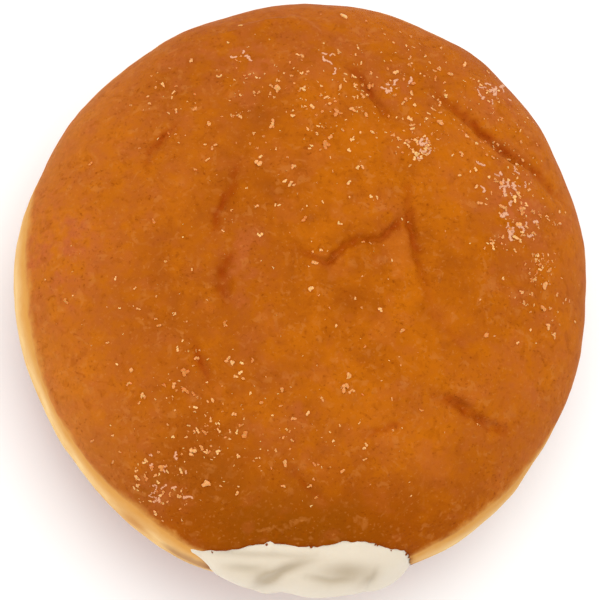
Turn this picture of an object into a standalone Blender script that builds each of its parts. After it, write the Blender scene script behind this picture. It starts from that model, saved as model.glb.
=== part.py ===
"""A round fried doughnut with a mouth cut in its side, and the cream that fills it and bulges out.

Metres, +Z up. The origin is on the surface that the doughnut rests on, under the middle of its footprint,
and the mouth faces -Y. Lengths are written in millimetres and multiplied by MM.
"""

import math
import random

import bmesh
import bpy
import numpy as np
from mathutils import Matrix, Vector, noise
from mathutils.bvhtree import BVHTree

MM = 0.001

# The dough: fuller than an ellipsoid, so that its top is a broad flat dome
DOUGH_RADIUS = 45.15 * MM
DOUGH_CROWN = 19.5 * MM  # from the equator up
DOUGH_BELLY = 19.3 * MM  # from the equator down, before the foot is cut flat
DOUGH_FULLNESS = 2.5  # 2 would be an ellipsoid
DOUGH_CENTRE = (0.75 * MM, 1.1 * MM)
FOOT_CUT = 0.8 * MM
EQUATOR = DOUGH_BELLY - FOOT_CUT
# How the outline seen from above leaves the circle: waves around it, their height, direction of a crest
OUTLINE_WAVES = ((2, 0.9 * MM, 74), (3, 0.5 * MM, 56), (4, 0.18 * MM, 339), (6, 0.16 * MM, 2))

# The pale band around the middle, which floated above the oil: its edges' heights above the equator
BAND_TOP = 5.8 * MM
BAND_BOTTOM = -5.2 * MM
BAND_TOP_WAVES = ((1, 1.0 * MM, 260), (3, 0.9 * MM, 310), (6, 1.25 * MM, 243), (7, 0.3 * MM, 20))
BAND_BOTTOM_WAVES = ((2, 0.6 * MM, 215), (3, 0.5 * MM, 225), (7, 1.1 * MM, 196))
BAND_SINK = 0.25 * MM
BAND_EDGE = 1.4 * MM  # over which the crust steps down into the band

# The mouth and the cream: a thick tongue along Y that bulges out of the dough
CREAM_FRONT = -44.6 * MM
CREAM_BACK = 16.4 * MM
CREAM_HALF_WIDTH = 22.2 * MM
CREAM_HALF_HEIGHT = 10.6 * MM
CREAM_CENTRE = (-1.4 * MM, EQUATOR + 2.15 * MM)  # X and Z of its axis
CREAM_FULLNESS = 3.2
CREAM_ROLL = math.radians(4.5)  # about its axis, its +X side up
CREAM_GAP = 0.3 * MM  # left between the cream and the pocket that it fills
# Its upper side sags between firmer stretches of the lip: X, half width, drop
CREAM_SAGS = ((-12.6, 4.2, 0.95), (2.6, 4.6, -0.25), (12.6, 3.6, 0.75))
# Swellings of the cream's front: X and height above the equator, half width and half height, depth
CREAM_SWELLINGS = (
    ((4.0, 0.5), (16.0, 8.0), 2.1),
    ((-5.5, -0.5), (1.5, 5.5), 0.7),
    ((15.7, -1.0), (5.2, 4.5), 1.5),
    ((-3.2, -0.5), (3.0, 5.0), -0.6),
    ((-14.5, -5.5), (4.6, 5.5), -2.9),
    ((-16.2, 2.0), (1.6, 2.2), -2.6),
)
# Dimples in its shoulder, seen from above: X and Y, half width and half length, depth
CREAM_DIMPLES = (
    ((5.6, -43.3), (3.6, 1.5), 0.6),
    ((-6.2, -44.4), (1.6, 0.8), 0.5),
)
# Creases where it folds over itself: half width, depth and the route seen from above
CREAM_CREASES = (
    (0.7, 0.6, ((-7.4, -44.9), (-5.6, -44.3), (-3.9, -43.2), (-1.1, -42.2), (1.6, -41.4))),
    (0.55, 0.35, ((8.0, -45.0), (9.6, -44.1), (9.9, -42.8))),
)
# How far in front of the origin the swellings, and then the creases and dimples, start and are full
CREAM_SWELLS = (33.0 * MM, 39.0 * MM)
CREAM_FOLDS_OVER = (40.6 * MM, 44.0 * MM)
# The creases and dimples run out down its front between these heights above the equator, in millimetres
CREAM_FOLDS_END = (-4.0, 3.0)

# Creases in the top crust, in millimetres: half width, depth, and the route seen from above
CREASES = (
    (0.9, 0.85, ((-4.7, 2.7), (-2.5, 2.0), (0.8, 0.6), (3.2, 3.2), (5.7, 4.5), (8.6, 4.4), (12.1, 7.8))),
    (1.1, 0.85, ((13.2, 13.2), (13.1, 9.5), (13.7, 5.0), (14.6, 0.8), (16.6, -6.5), (21.4, -11.0))),
    (0.9, 0.90, ((5.0, 32.7), (7.0, 29.8), (8.8, 26.6), (10.8, 23.6))),
    (1.2, 1.30, ((18.1, 29.6), (20.2, 27.6), (23.9, 24.8), (30.6, 19.9), (33.8, 18.9), (38.1, 14.8))),
    (1.3, 0.55, ((-21.1, 21.8), (-25.1, 18.2), (-25.8, 15.2))),
    (1.2, 0.65, ((-12.4, 15.3), (-13.6, 11.6), (-15.6, 7.6), (-15.9, 4.0))),
    (1.4, 0.60, ((-13.2, 1.8), (-14.7, -0.8), (-14.1, -5.8))),
    (1.3, 0.45, ((-18.9, -11.1), (-17.2, -15.5), (-16.1, -17.8))),
    (1.2, 1.00, ((17.1, -18.9), (19.9, -18.9), (22.9, -20.7), (26.1, -22.1), (28.9, -22.9))),
    (1.2, 0.45, ((6.0, -24.9), (9.3, -23.7), (12.8, -22.4))),
    (0.9, 0.40, ((-3.8, -29.2), (-1.5, -32.4), (0.9, -33.9))),
    (0.9, -0.45, ((-16.8, 36.7), (-7.7, 39.9), (-2.9, 40.9), (-0.2, 39.1), (1.2, 35.1))),
)
# Each lies in a hollow this many times as wide, with this share of its depth
CREASE_HOLLOW = (2.8, 0.3)
# A crease fades out over this height next to the equator
CREASE_FADE = 4.0 * MM
# The ends of a route, as a share of its length, stay this far from nothing
CREASE_END = 0.05
# Creases on the underside wander by rule: how many, how long, half width and depth
UNDER_CREASES = (6, 15.0, 1.2, 0.55)
UNDER_AWAY = (18.0, 29.0)  # where they start, from the middle
UNDER_HEADING = (1.2, 2.4)  # radians away from straight outwards
UNDER_BENDS = 4
UNDER_BEND = 0.6  # radians at most, at each
UNDER_SEED = 5

# Uneven swelling of the crust: size of a lump, and height
LUMPS = ((26 * MM, 0.7 * MM), (11 * MM, 0.35 * MM))

# Sugar: the coarser grains, most of them in patches. X, Y, spread of a patch and its share of the grains
SUGAR_PATCHES = (
    (11.1, 31.0, 5.0, 30),
    (1.5, 23.7, 4.5, 26),
    (18.9, 26.4, 4.5, 22),
    (-10.4, 27.7, 5.0, 20),
    (-23.8, 24.5, 5.0, 10),
    (30.7, 21.1, 3.2, 12),
    (28.5, 30.5, 3.0, 14),
    (29.6, 13.1, 2.4, 28),
    (31.2, 6.9, 2.0, 16),
    (32.6, -3.1, 3.4, 9),
    (15.5, 18.9, 1.6, 9),
    (-3.3, 10.0, 6.5, 12),
    (-29.5, -6.7, 6.5, 8),
    (-20.6, -15.9, 5.0, 12),
    (-13.9, -23.7, 4.8, 24),
    (-24.1, -32.7, 2.6, 22),
    (0.0, -25.0, 6.0, 20),
    (-2.0, -3.0, 19.0, 30),
)
SUGAR_GRAINS = 48
SUGAR_RADIUS = (0.34 * MM, 0.52 * MM)
SUGAR_APART = 1.4 * MM
# Grains keep this far above the equator
SUGAR_LOWEST = 8.0 * MM
SUGAR_SUNK = 0.35  # share of a grain's radius below the crust
SUGAR_WIDE = (0.75, 1.2)  # a grain's reach along the crust, in radii
SUGAR_TALL = (0.7, 1.0)
SUGAR_SEED = 11

# Higher than any of the crust, and wider than all of the foot
ABOVE_ALL = EQUATOR + 2 * DOUGH_CROWN
TABLE_CUTTER = (3 * DOUGH_RADIUS, 10 * MM)  # width and thickness

# Colour as linear light, and roughness
CRUST_FINISH = ((0.50, 0.13, 0.012), 0.5)
CREAM_FINISH = ((0.86, 0.82, 0.72), 0.45)

# The ball that each form starts from is halved this often, and then thinned out to this many triangles
DOUGH_CUTS = 7
DOUGH_TRIANGLES = 6600
CREAM_CUTS = 6
CREAM_TRIANGLES = 2600
# Neighbouring faces that meet more sharply than this are shaded with an edge between them
SHARP_ANGLE = math.radians(35)


def smooth_noise(points, size, seed):
    """Noise from -1 to 1 with bumps of this size."""
    away = Vector((7.1 * seed, -3.7 * seed, 5.3 * seed))
    return np.array([noise.noise(Vector(p) / size + away) for p in points])


def waves(angle, terms):
    """Sum of cosines around the dough: (waves in a turn, height, direction of a crest in degrees) each."""
    return sum(height * np.cos(count * (angle - math.radians(crest))) for count, height, crest in terms)


def rise(value, start, end):
    """0 before start, 1 after end, smooth between."""
    t = np.clip((value - start) / (end - start), 0, 1)
    return t * t * (3 - 2 * t)


def dough_surface(directions):
    """The smooth dough's points in these directions from its middle, and its normals there."""
    x, y, z = directions.T
    level = np.hypot(x, y)
    reach = (level**DOUGH_FULLNESS + np.abs(z) ** DOUGH_FULLNESS) ** (-1 / DOUGH_FULLNESS)
    radius = DOUGH_RADIUS + waves(np.arctan2(y, x), OUTLINE_WAVES)
    height = np.where(z > 0, DOUGH_CROWN, DOUGH_BELLY)
    points = np.stack([radius * x, radius * y, height * z], axis=1) * reach[:, None]
    outward = (reach * level) ** (DOUGH_FULLNESS - 1) / radius / np.maximum(level, 1e-9)
    upward = np.sign(z) * (reach * np.abs(z)) ** (DOUGH_FULLNESS - 1) / height
    normals = np.stack([outward * x, outward * y, upward], axis=1)
    normals /= np.linalg.norm(normals, axis=1)[:, None]
    return points + np.array([*DOUGH_CENTRE, EQUATOR]), normals


def inside_band(points):
    """1 on the pale band, 0 on the crust above and below it."""
    angle = np.arctan2(points[:, 1] - DOUGH_CENTRE[1], points[:, 0] - DOUGH_CENTRE[0])
    height = points[:, 2] - EQUATOR
    top = BAND_TOP + waves(angle, BAND_TOP_WAVES)
    bottom = BAND_BOTTOM + waves(angle, BAND_BOTTOM_WAVES)
    below_top = 1 - rise(height, top - BAND_EDGE, top)
    return below_top * rise(height, bottom, bottom + BAND_EDGE)


def route_distance(points, route):
    """How far each point is from a route seen from above, and what share of the route leads to there."""
    route = np.array(route) * MM
    lengths = np.linalg.norm(np.diff(route, axis=0), axis=1)
    nearest = np.full(len(points), np.inf)
    share = np.zeros(len(points))
    passed = 0.0
    for start, end, length in zip(route, route[1:], lengths):
        step = (end - start) / length
        along = np.clip((points[:, :2] - start) @ step, 0, length)
        distance = np.linalg.norm(points[:, :2] - start - along[:, None] * step, axis=1)
        closer = distance < nearest
        nearest[closer] = distance[closer]
        share[closer] = (passed + along[closer]) / lengths.sum()
        passed += length
    return nearest, share


def under_routes():
    """The underside's creases: short routes that start anywhere and bend at random."""
    draw = random.Random(UNDER_SEED)
    count, length, _, _ = UNDER_CREASES
    for number in range(count):
        angle = math.tau * (number + draw.random()) / count
        away = draw.uniform(*UNDER_AWAY)
        heading = angle + draw.uniform(*UNDER_HEADING)
        x, y = away * math.cos(angle), away * math.sin(angle)
        route = [(x, y)]
        for _ in range(UNDER_BENDS):
            heading += draw.uniform(-UNDER_BEND, UNDER_BEND)
            x += length / UNDER_BENDS * math.cos(heading)
            y += length / UNDER_BENDS * math.sin(heading)
            route.append((x, y))
        yield route


def crease(points, half_width, depth, route):
    """A groove in a shallow hollow along the route, which fades at its ends."""
    distance, share = route_distance(points, route)
    across = distance / (half_width * MM)
    fade = np.sqrt(np.sin(math.pi * np.clip(share, CREASE_END, 1 - CREASE_END)))
    wider, shallower = CREASE_HOLLOW
    return depth * MM * fade * (np.exp(-(across**2)) + shallower * np.exp(-((across / wider) ** 2)))


def crust_relief(points):
    """How far the crust stands proud of the smooth dough."""
    relief = -BAND_SINK * inside_band(points)
    for number, (size, height) in enumerate(LUMPS):
        relief += height * smooth_noise(points, size, number + 1)
    upper = rise(points[:, 2], EQUATOR, EQUATOR + CREASE_FADE)
    for half_width, depth, route in CREASES:
        relief -= upper * crease(points, half_width, depth, route)
    lower = rise(-points[:, 2], -EQUATOR, CREASE_FADE - EQUATOR)
    _, _, half_width, depth = UNDER_CREASES
    for route in under_routes():
        relief -= lower * crease(points, half_width, depth, route)
    return relief


def bump(first, second, middle, halves):
    """A smooth rise to 1 around a middle, as wide each way as its halves say."""
    return np.exp(-(((first - middle[0]) / halves[0]) ** 2) - ((second - middle[1]) / halves[1]) ** 2)


def cream_relief(points):
    """How far the cream's front swells forward of its smooth form, and how far it is sunk below that."""
    x, y, z = points.T / MM
    z = z - EQUATOR / MM
    swollen = sum(depth * bump(x, z, at, halves) for at, halves, depth in CREAM_SWELLINGS)
    sunk = sum(depth * bump(x, y, at, halves) for at, halves, depth in CREAM_DIMPLES) * MM
    for half_width, depth, route in CREAM_CREASES:
        sunk = sunk + crease(points, half_width, depth, route)
    swollen = swollen * MM * rise(-points[:, 1], *CREAM_SWELLS)
    return swollen, sunk * rise(z, *CREAM_FOLDS_END) * rise(-points[:, 1], *CREAM_FOLDS_OVER)


def cream_surface(directions, grow=0.0):
    """The cream's points in these directions from its middle, with its whole skin moved out by grow."""
    halves = np.array([CREAM_HALF_WIDTH, (CREAM_BACK - CREAM_FRONT) / 2, CREAM_HALF_HEIGHT]) + grow
    centre = np.array([CREAM_CENTRE[0], (CREAM_BACK + CREAM_FRONT) / 2, CREAM_CENTRE[1]])
    roll = np.array(Matrix.Rotation(-CREAM_ROLL, 3, "Y"))
    reach = (np.abs(directions) ** CREAM_FULLNESS).sum(axis=1) ** (-1 / CREAM_FULLNESS)
    unit = directions * reach[:, None]
    normals = np.sign(unit) * np.abs(unit) ** (CREAM_FULLNESS - 1) / halves
    normals = normals / np.linalg.norm(normals, axis=1)[:, None] @ roll.T
    points = centre + (unit * halves) @ roll.T
    upper = rise(points[:, 2], CREAM_CENTRE[1], CREAM_CENTRE[1] + CREAM_HALF_HEIGHT)
    for x, half_width, drop in CREAM_SAGS:
        points[:, 2] -= drop * MM * upper * np.exp(-(((points[:, 0] / MM - x) / half_width) ** 2))
    swollen, sunk = cream_relief(points)
    return points - swollen[:, None] * np.array([0, 1, 0]) - sunk[:, None] * normals


def ball(cuts):
    """A ball of even triangles, and its corners as unit vectors."""
    bm = bmesh.new()
    bmesh.ops.create_icosphere(bm, subdivisions=cuts, radius=1.0)
    return bm, np.array([corner.co.normalized() for corner in bm.verts])


def object_from(bm, points, name, collection):
    """The ball's mesh with its corners moved to these points, as a named object."""
    for corner, point in zip(bm.verts, points):
        corner.co = point
    mesh = bpy.data.meshes.new(name)
    bm.to_mesh(mesh)
    bm.free()
    made = bpy.data.objects.new(name, mesh)
    collection.objects.link(made)
    return made


def thin_out(made, triangles):
    """Leaves this many triangles, most of them where the form bends most."""
    step = made.modifiers.new("thin_out", "DECIMATE")
    step.ratio = triangles / len(made.data.polygons)


def make_cream(name, collection, grow=0.0):
    bm, directions = ball(CREAM_CUTS)
    cream = object_from(bm, cream_surface(directions, grow), name, collection)
    thin_out(cream, CREAM_TRIANGLES)
    return cream


def make_table_cutter(collection):
    """What the foot is cut flat by: a slab whose top is the surface that the doughnut rests on."""
    bm = bmesh.new()
    bmesh.ops.create_cube(bm, size=1.0)
    wide, thick = TABLE_CUTTER
    size = Matrix.Diagonal((wide, wide, thick, 1))
    bmesh.ops.transform(bm, matrix=Matrix.Translation((0, 0, -thick / 2)) @ size, verts=bm.verts)
    return object_from(bm, [corner.co.copy() for corner in bm.verts], "table_cutter", collection)


def cut(target, cutter):
    cutter.hide_render = True
    cutter.display_type = "WIRE"
    step = target.modifiers.new(cutter.name, "BOOLEAN")
    step.operation = "DIFFERENCE"
    step.object = cutter


def make_dough(collection, cutters):
    bm, directions = ball(DOUGH_CUTS)
    points, normals = dough_surface(directions)
    points += crust_relief(points)[:, None] * normals
    dough = object_from(bm, points, "dough", collection)
    thin_out(dough, DOUGH_TRIANGLES)
    cut(dough, make_table_cutter(cutters))
    cut(dough, make_cream("pocket_cutter", cutters, CREAM_GAP))
    return dough


def sugar_places(surface):
    """Where the grains lie: a point on the top crust, its normal and a radius for each."""
    draw = random.Random(SUGAR_SEED)
    shares = [patch[3] for patch in SUGAR_PATCHES]
    places = []
    while len(places) < SUGAR_GRAINS:
        x, y, spread, _ = draw.choices(SUGAR_PATCHES, shares)[0]
        above = Vector((draw.gauss(x, spread) * MM, draw.gauss(y, spread) * MM, ABOVE_ALL))
        radius = draw.uniform(*SUGAR_RADIUS)
        point, normal, _, _ = surface.ray_cast(above, Vector((0, 0, -1)))
        if point is None or point.z < EQUATOR + SUGAR_LOWEST:
            continue
        if all((point - other).length > SUGAR_APART for other, _, _ in places):
            places.append((point, normal, radius))
    return places


def add_sugar(dough):
    """Fuses the grains to the crust."""
    graph = bpy.context.evaluated_depsgraph_get()
    surface = BVHTree.FromObject(dough, graph)
    grains = bpy.data.collections.new("grains")
    bpy.context.scene.collection.children.link(grains)
    draw = random.Random(SUGAR_SEED + 1)
    for number, (point, normal, radius) in enumerate(sugar_places(surface)):
        bm, directions = ball(1)
        turn = Matrix.Rotation(draw.uniform(0, math.tau), 3, normal)
        stretch = Vector((draw.uniform(*SUGAR_WIDE), draw.uniform(*SUGAR_WIDE), draw.uniform(*SUGAR_TALL)))
        middle = point + normal * radius * (0.5 - SUGAR_SUNK)
        corners = [middle + turn @ (Vector(d) * stretch) * radius for d in directions]
        object_from(bm, corners, f"grain_{number}", grains)
    fuse = dough.modifiers.new("fuse_grains", "BOOLEAN")
    fuse.operation = "UNION"
    fuse.operand_type = "COLLECTION"
    fuse.collection = grains
    bpy.context.view_layer.objects.active = dough
    for step in list(dough.modifiers):
        bpy.ops.object.modifier_apply(modifier=step.name)
    for grain in list(grains.objects):
        bpy.data.objects.remove(grain)
    bpy.data.collections.remove(grains)


def finish(made, name, colour, roughness):
    """Gives an object its own material and smooth shading."""
    material = bpy.data.materials.new(name)
    material.use_nodes = True
    shader = material.node_tree.nodes["Principled BSDF"]
    shader.inputs["Base Color"].default_value = (*colour, 1)
    shader.inputs["Roughness"].default_value = roughness
    made.data.materials.clear()
    made.data.materials.append(material)
    made.data.shade_smooth()
    made.data.set_sharp_from_angle(angle=SHARP_ANGLE)


def new_collection(name):
    collection = bpy.data.collections.new(name)
    bpy.context.scene.collection.children.link(collection)
    return collection


def main():
    for old in list(bpy.data.objects):
        bpy.data.objects.remove(old)
    parts = new_collection("doughnut")
    cutters = new_collection("cutters")
    dough = make_dough(parts, cutters)
    add_sugar(dough)
    for cutter in list(cutters.objects):
        bpy.data.objects.remove(cutter)
    finish(dough, "fried_crust", *CRUST_FINISH)
    finish(make_cream("cream", parts), "cream", *CREAM_FINISH)


main()
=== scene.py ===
"""Dresses a cream-filled doughnut: its fried crust, its cream, the sugar on it, and a stage."""

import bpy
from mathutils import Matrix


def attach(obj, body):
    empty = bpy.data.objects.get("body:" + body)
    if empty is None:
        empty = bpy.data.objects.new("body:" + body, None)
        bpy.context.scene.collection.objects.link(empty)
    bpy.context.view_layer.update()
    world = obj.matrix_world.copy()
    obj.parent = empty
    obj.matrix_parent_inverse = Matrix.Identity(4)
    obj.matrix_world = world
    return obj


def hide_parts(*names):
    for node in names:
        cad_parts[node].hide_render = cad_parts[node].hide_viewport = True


bl_info = {
    "name": "Cream-filled doughnut",
    "version": (1, 0, 0),
    "blender": (4, 5, 0),
    "location": "3D Viewport > Sidebar > Doughnut",
    "description": "Fried crust, cream and sugar over the packed doughnut",
    "category": "Object",
}

import math
import random

import bmesh
import bpy
import numpy as np
from bpy.props import FloatProperty, FloatVectorProperty, IntProperty, PointerProperty
from bpy.types import Operator, Panel, PropertyGroup
from mathutils import Matrix, Vector, noise
from mathutils.bvhtree import BVHTree
from mathutils.kdtree import KDTree

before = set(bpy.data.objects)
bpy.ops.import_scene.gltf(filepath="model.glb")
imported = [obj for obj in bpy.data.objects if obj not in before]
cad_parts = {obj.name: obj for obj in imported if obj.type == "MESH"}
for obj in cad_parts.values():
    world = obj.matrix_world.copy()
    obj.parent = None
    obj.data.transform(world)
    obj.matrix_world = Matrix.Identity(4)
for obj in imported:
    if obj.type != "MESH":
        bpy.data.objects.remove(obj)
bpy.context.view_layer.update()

MM = 0.001
BODY = "root"


def srgb(red, green, blue):
    """A colour given as 0 to 255, as linear light."""

    def linear(part):
        return part / 12.92 if part <= 0.04045 else ((part + 0.055) / 1.055) ** 2.4

    return tuple(linear(value / 255) for value in (red, green, blue))


# --- The doughnut's form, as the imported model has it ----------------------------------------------

DOUGH_RADIUS = 45.15 * MM
DOUGH_CROWN = 19.5 * MM  # from the equator up
DOUGH_BELLY = 19.3 * MM  # from the equator down, before the foot is cut flat
DOUGH_FULLNESS = 2.5  # 2 would be an ellipsoid
DOUGH_CENTRE = (0.75 * MM, 1.1 * MM)
FOOT_CUT = 0.8 * MM
EQUATOR = DOUGH_BELLY - FOOT_CUT
TABLE_CUTTER = (3 * DOUGH_RADIUS, 10 * MM)  # width and thickness of what the foot is cut flat by
# The height that places on the top are looked for from, and the way they are looked for
ABOVE_ALL = EQUATOR + 2 * DOUGH_CROWN
DOWN = Vector((0, 0, -1))
# How the outline seen from above leaves the circle: waves around it, their height, direction of a crest
OUTLINE_WAVES = ((2, 0.9 * MM, 74), (3, 0.5 * MM, 56), (4, 0.18 * MM, 339), (6, 0.16 * MM, 2))

# The pale band around the middle, which floated above the oil: its edges' heights above the equator
BAND_TOP = 5.8 * MM
BAND_BOTTOM = -5.2 * MM
BAND_TOP_WAVES = ((1, 1.0 * MM, 260), (3, 0.9 * MM, 310), (6, 1.25 * MM, 243), (7, 0.3 * MM, 20))
BAND_BOTTOM_WAVES = ((2, 0.6 * MM, 215), (3, 0.5 * MM, 225), (7, 1.1 * MM, 196))
BAND_SINK = 0.25 * MM
BAND_EDGE = 1.4 * MM  # over which the crust steps down into the band

# The mouth and the cream: a thick tongue along Y that bulges out of the dough
CREAM_FRONT = -44.6 * MM
CREAM_BACK = 16.4 * MM
CREAM_HALF_WIDTH = 22.2 * MM
CREAM_HALF_HEIGHT = 10.6 * MM
CREAM_CENTRE = (-1.4 * MM, EQUATOR + 2.15 * MM)  # X and Z of its axis
CREAM_FULLNESS = 3.2
CREAM_ROLL = math.radians(4.5)  # about its axis, its +X side up
CREAM_GAP = 0.3 * MM  # left between the cream and the pocket that it fills
# Its upper side sags between firmer stretches of the lip: X, half width, drop
CREAM_SAGS = ((-12.6, 4.2, 0.95), (2.6, 4.6, -0.25), (12.6, 3.6, 0.75))
# Swellings of the cream's front: X and height above the equator, half width and half height, depth
CREAM_SWELLINGS = (
    ((4.0, 0.5), (16.0, 8.0), 2.1),
    ((-5.5, -0.5), (1.5, 5.5), 0.7),
    ((15.7, -1.0), (5.2, 4.5), 1.5),
    ((-3.2, -0.5), (3.0, 5.0), -0.6),
    ((-14.5, -5.5), (4.6, 5.5), -2.9),
    ((-16.2, 2.0), (1.6, 2.2), -2.6),
)
# Dimples in its shoulder, seen from above: X and Y, half width and half length, depth
CREAM_DIMPLES = (
    ((5.6, -43.3), (3.6, 1.5), 0.6),
    ((-6.2, -44.4), (1.6, 0.8), 0.5),
)
# Creases where it folds over itself: half width, depth and the route seen from above
CREAM_CREASES = (
    (0.7, 0.6, ((-7.4, -44.9), (-5.6, -44.3), (-3.9, -43.2), (-1.1, -42.2), (1.6, -41.4))),
    (0.55, 0.35, ((8.0, -45.0), (9.6, -44.1), (9.9, -42.8))),
)
# How far in front of the origin the swellings start and are full, and the creases and dimples
CREAM_SWELLS = (33.0 * MM, 39.0 * MM)
CREAM_FOLDS_OVER = (40.6 * MM, 44.0 * MM)
# The creases and dimples run out down its front between these heights above the equator, in millimetres
CREAM_FOLDS_END = (-4.0, 3.0)

# Creases in the top crust, in millimetres: half width, depth, and the route seen from above
CREASES = (
    (0.9, 0.85, ((-4.7, 2.7), (-2.5, 2.0), (0.8, 0.6), (3.2, 3.2), (5.7, 4.5), (8.6, 4.4), (12.1, 7.8))),
    (1.1, 0.85, ((13.2, 13.2), (13.1, 9.5), (13.7, 5.0), (14.6, 0.8), (16.6, -6.5), (21.4, -11.0))),
    (0.9, 0.90, ((5.0, 32.7), (7.0, 29.8), (8.8, 26.6), (10.8, 23.6))),
    (1.2, 1.30, ((18.1, 29.6), (20.2, 27.6), (23.9, 24.8), (30.6, 19.9), (33.8, 18.9), (38.1, 14.8))),
    (1.3, 0.55, ((-21.1, 21.8), (-25.1, 18.2), (-25.8, 15.2))),
    (1.2, 0.65, ((-12.4, 15.3), (-13.6, 11.6), (-15.6, 7.6), (-15.9, 4.0))),
    (1.4, 0.60, ((-13.2, 1.8), (-14.7, -0.8), (-14.1, -5.8))),
    (1.3, 0.45, ((-18.9, -11.1), (-17.2, -15.5), (-16.1, -17.8))),
    (1.2, 1.00, ((17.1, -18.9), (19.9, -18.9), (22.9, -20.7), (26.1, -22.1), (28.9, -22.9))),
    (1.2, 0.45, ((6.0, -24.9), (9.3, -23.7), (12.8, -22.4))),
    (0.9, 0.40, ((-3.8, -29.2), (-1.5, -32.4), (0.9, -33.9))),
    (0.9, -0.45, ((-16.8, 36.7), (-7.7, 39.9), (-2.9, 40.9), (-0.2, 39.1), (1.2, 35.1))),
)
# Each lies in a hollow this many times as wide, with this share of its depth
CREASE_HOLLOW = (2.8, 0.3)
# A crease fades out over this height next to the equator
CREASE_FADE = 4.0 * MM
# At the ends of its route a crease is as deep as this share of the length in from them
CREASE_END = 0.05
# Creases on the underside wander by rule: how many, how long, half width and depth
UNDER_CREASES = (6, 15.0, 1.2, 0.55)
UNDER_AWAY = (18.0, 29.0)  # where they start, from the middle
UNDER_HEADING = (1.2, 2.4)  # radians away from straight outwards
UNDER_BENDS = 4
UNDER_BEND = 0.6  # radians at most, at each
UNDER_SEED = 5

# Uneven swelling of the crust: size of a lump, and height
LUMPS = ((26 * MM, 0.7 * MM), (11 * MM, 0.35 * MM))

# Sugar: the coarser grains, most of them in patches. X, Y, spread of a patch and its share of the grains
SUGAR_PATCHES = (
    (11.1, 31.0, 5.0, 30),
    (1.5, 23.7, 4.5, 26),
    (18.9, 26.4, 4.5, 22),
    (-10.4, 27.7, 5.0, 20),
    (-23.8, 24.5, 5.0, 10),
    (30.7, 21.1, 3.2, 12),
    (28.5, 30.5, 3.0, 14),
    (29.6, 13.1, 2.4, 28),
    (31.2, 6.9, 2.0, 16),
    (32.6, -3.1, 3.4, 9),
    (15.5, 18.9, 1.6, 9),
    (-3.3, 10.0, 6.5, 12),
    (-29.5, -6.7, 6.5, 8),
    (-20.6, -15.9, 5.0, 12),
    (-13.9, -23.7, 4.8, 24),
    (-24.1, -32.7, 2.6, 22),
    (0.0, -25.0, 6.0, 20),
    (-2.0, -3.0, 19.0, 30),
)
# More patches, of fine grains alone
FINE_PATCHES = ((34.7, 3.2, 1.2, 8), (33.0, 1.2, 1.0, 8), (27.2, 5.7, 1.0, 7), (36.0, 10.0, 1.5, 5))
# The patches that flakes cover, and the share of their fine grains that is left
FLAKED = {(29.6, 13.1), (31.2, 6.9)}
FLAKED_SHARE = 0.45
COARSE_GRAINS = 48
COARSE_RADIUS = (0.34 * MM, 0.52 * MM)
COARSE_APART = 1.4 * MM
# Grains keep this far above the equator
SUGAR_LOWEST = 8.0 * MM
SUGAR_SEED = 11
FINE_SEED = SUGAR_SEED + 7
CLUMP_SEED = SUGAR_SEED + 1

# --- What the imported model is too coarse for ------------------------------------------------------

# Finer unevenness of the crust: size of a lump, and height
FINE_LUMPS = ((4.5 * MM, 0.13 * MM), (1.9 * MM, 0.05 * MM))
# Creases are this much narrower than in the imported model
CREASE_NARROW = 0.72
# They stray from their routes: how far apart the bends are, and how far they go
CREASE_STRAYS = ((1.8 * MM, 0.44 * MM), (0.8 * MM, 0.20 * MM))
# Their depth is uneven: its mean, by how much, and how far apart
CREASE_DEPTHS = (0.85, 0.5, 3.0 * MM)
# Painted shade, a dark line at the bottom of a crease: its half width as a share of the crease's
CREASE_LINE = 0.72
# It is as dark as the crease is deep, next to the deepest, to this power
CREASE_SHALLOW = 0.4
# In a crease shallower than this many millimetres the line is thinner too, by this power of the depth
CREASE_THIN = (0.8, 0.8)
# Where the line starts and ends, as shares of the route, and how bluntly
CREASE_TIPS = (0.01, 0.99)
CREASE_BLUNT = 0.25
# The line is unevenly dark: its mean, by how much, how far apart, and the most
CREASE_SHADES = (0.9, 0.8, 1.3 * MM, 1.2)
# Where creases are worn faint, or sharper than the rest: X, Y, half width, half length, how much fainter
WORN = (
    (17.5, -7.5, 4.5, 6.0, 0.75),
    (15.5, -1.5, 3.0, 3.0, 0.3),
    (17.6, 30.5, 2.5, 2.5, 0.5),
    (11.0, 6.6, 2.4, 2.0, -0.8),
    (13.4, 9.0, 1.5, 3.0, -0.3),
    (-4.7, 2.7, 3.0, 2.0, 0.3),
    (-14.5, 10.5, 3.0, 6.0, -0.35),
    (-14.4, -2.0, 3.0, 4.5, -0.4),
    (-24.5, 18.5, 3.5, 4.5, -0.4),
    (-17.2, -15.0, 3.0, 4.0, -0.4),
)
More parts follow.
